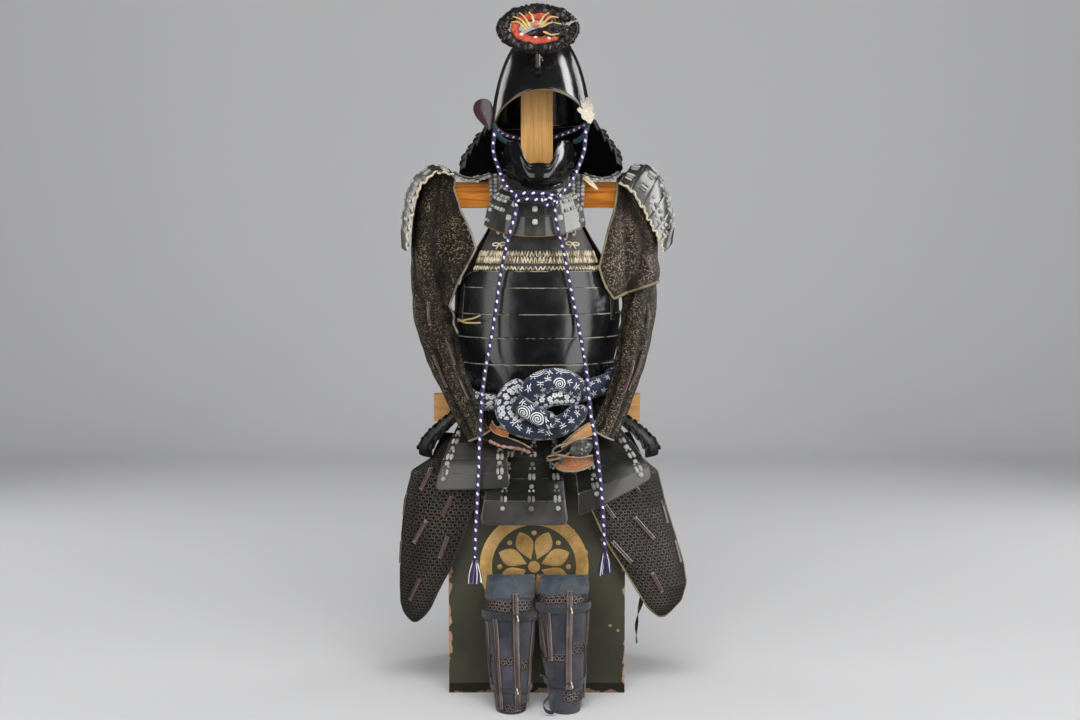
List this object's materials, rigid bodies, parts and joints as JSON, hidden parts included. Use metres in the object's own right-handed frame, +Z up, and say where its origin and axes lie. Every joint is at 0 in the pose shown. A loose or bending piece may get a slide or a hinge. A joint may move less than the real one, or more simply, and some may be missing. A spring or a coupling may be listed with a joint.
{
  "type": "samurai armour on wooden stand and armour box",
  "caption": "Full suit of black lacquered plate armour with mail sleeves, thigh and shin guards, mask and crested helmet, shown seated on a T stand over its storage box",
  "frame": {"origin": "centre of the storage box's flat underside, on the floor, where the box rests", "axes": "+Z up along the stand's post, +Y to the armour's back, so the armour faces -Y, and +X to the viewer's right as the armour is looked at from the front"},
  "size_m": [0.6407, 0.5428, 1.501],
  "materials": {
    "black_lacquer": "glossy black lacquer on iron",
    "olive_lacquer": "worn olive-black lacquer on softwood",
    "pale_wood": "bare planed pine",
    "amber_wood": "dark amber varnished pine",
    "dark_leather": "grained smoked leather over iron",
    "cream_leather": "worn stencilled leather",
    "mail_cloth": "russet-black mail on lined cloth",
    "indigo_cloth": "faded indigo hemp cloth",
    "sash_cotton": "printed indigo cotton, stuffed",
    "silk_cord": "purple and white braided silk",
    "tan_leather": "tan deerskin with embossed plate",
    "carved_crest": "painted and gilded carved wood"
  },
  "bodies": {
    "root": {"box_body": "olive_lacquer", "box_lid": "olive_lacquer", "box_plinth": "olive_lacquer", "stand_base": "pale_wood", "stand_post": "pale_wood", "hip_board": "pale_wood", "shoulder_bar": "amber_wood", "cuirass_front_plate_1": "black_lacquer", "cuirass_front_plate_2": "black_lacquer", "cuirass_front_plate_3": "black_lacquer", "cuirass_front_plate_4": "black_lacquer", "cuirass_front_plate_5": "black_lacquer", "cuirass_back_plates": "black_lacquer", "helmet_bowl": "black_lacquer", "neck_lame_1": "black_lacquer", "neck_lame_2": "black_lacquer", "neck_lame_3": "black_lacquer", "neck_lame_4": "black_lacquer", "throat_lame_1": "black_lacquer", "throat_lame_2": "black_lacquer", "throat_lame_3": "black_lacquer", "face_mask": "black_lacquer", "crest_horn": "black_lacquer", "tasset_centre": "black_lacquer", "tasset_front_left": "black_lacquer", "tasset_front_right": "black_lacquer", "tasset_side_left": "black_lacquer", "tasset_side_right": "black_lacquer", "tasset_back_left": "black_lacquer", "tasset_back_right": "black_lacquer", "shoulder_guard_left": "black_lacquer", "shoulder_guard_right": "black_lacquer", "cuirass_chest_plate": "dark_leather", "cuirass_back_upper": "dark_leather", "shoulder_strap_left": "dark_leather", "shoulder_strap_right": "dark_leather", "helmet_wing_left": "dark_leather", "helmet_wing_right": "cream_leather", "sleeve_left": "mail_cloth", "sleeve_right_upper": "mail_cloth", "sleeve_right_lower": "mail_cloth", "thigh_guard_left": "mail_cloth", "thigh_guard_right": "mail_cloth", "shin_guard_left": "indigo_cloth", "shin_guard_right": "indigo_cloth", "thigh_guard_tie": "indigo_cloth", "sash_belt": "sash_cotton", "sash_right_end": "sash_cotton", "sash_ring": "sash_cotton", "sash_top_loop": "sash_cotton", "sash_tail": "sash_cotton", "helmet_cord_left": "silk_cord", "helmet_cord_right": "silk_cord", "cord_tassel_left": "silk_cord", "cord_tassel_right": "silk_cord", "hand_guard_left": "tan_leather", "hand_guard_right": "tan_leather", "crest_coil": "carved_crest", "crest_head": "carved_crest"}
  },
  "joints": []
}
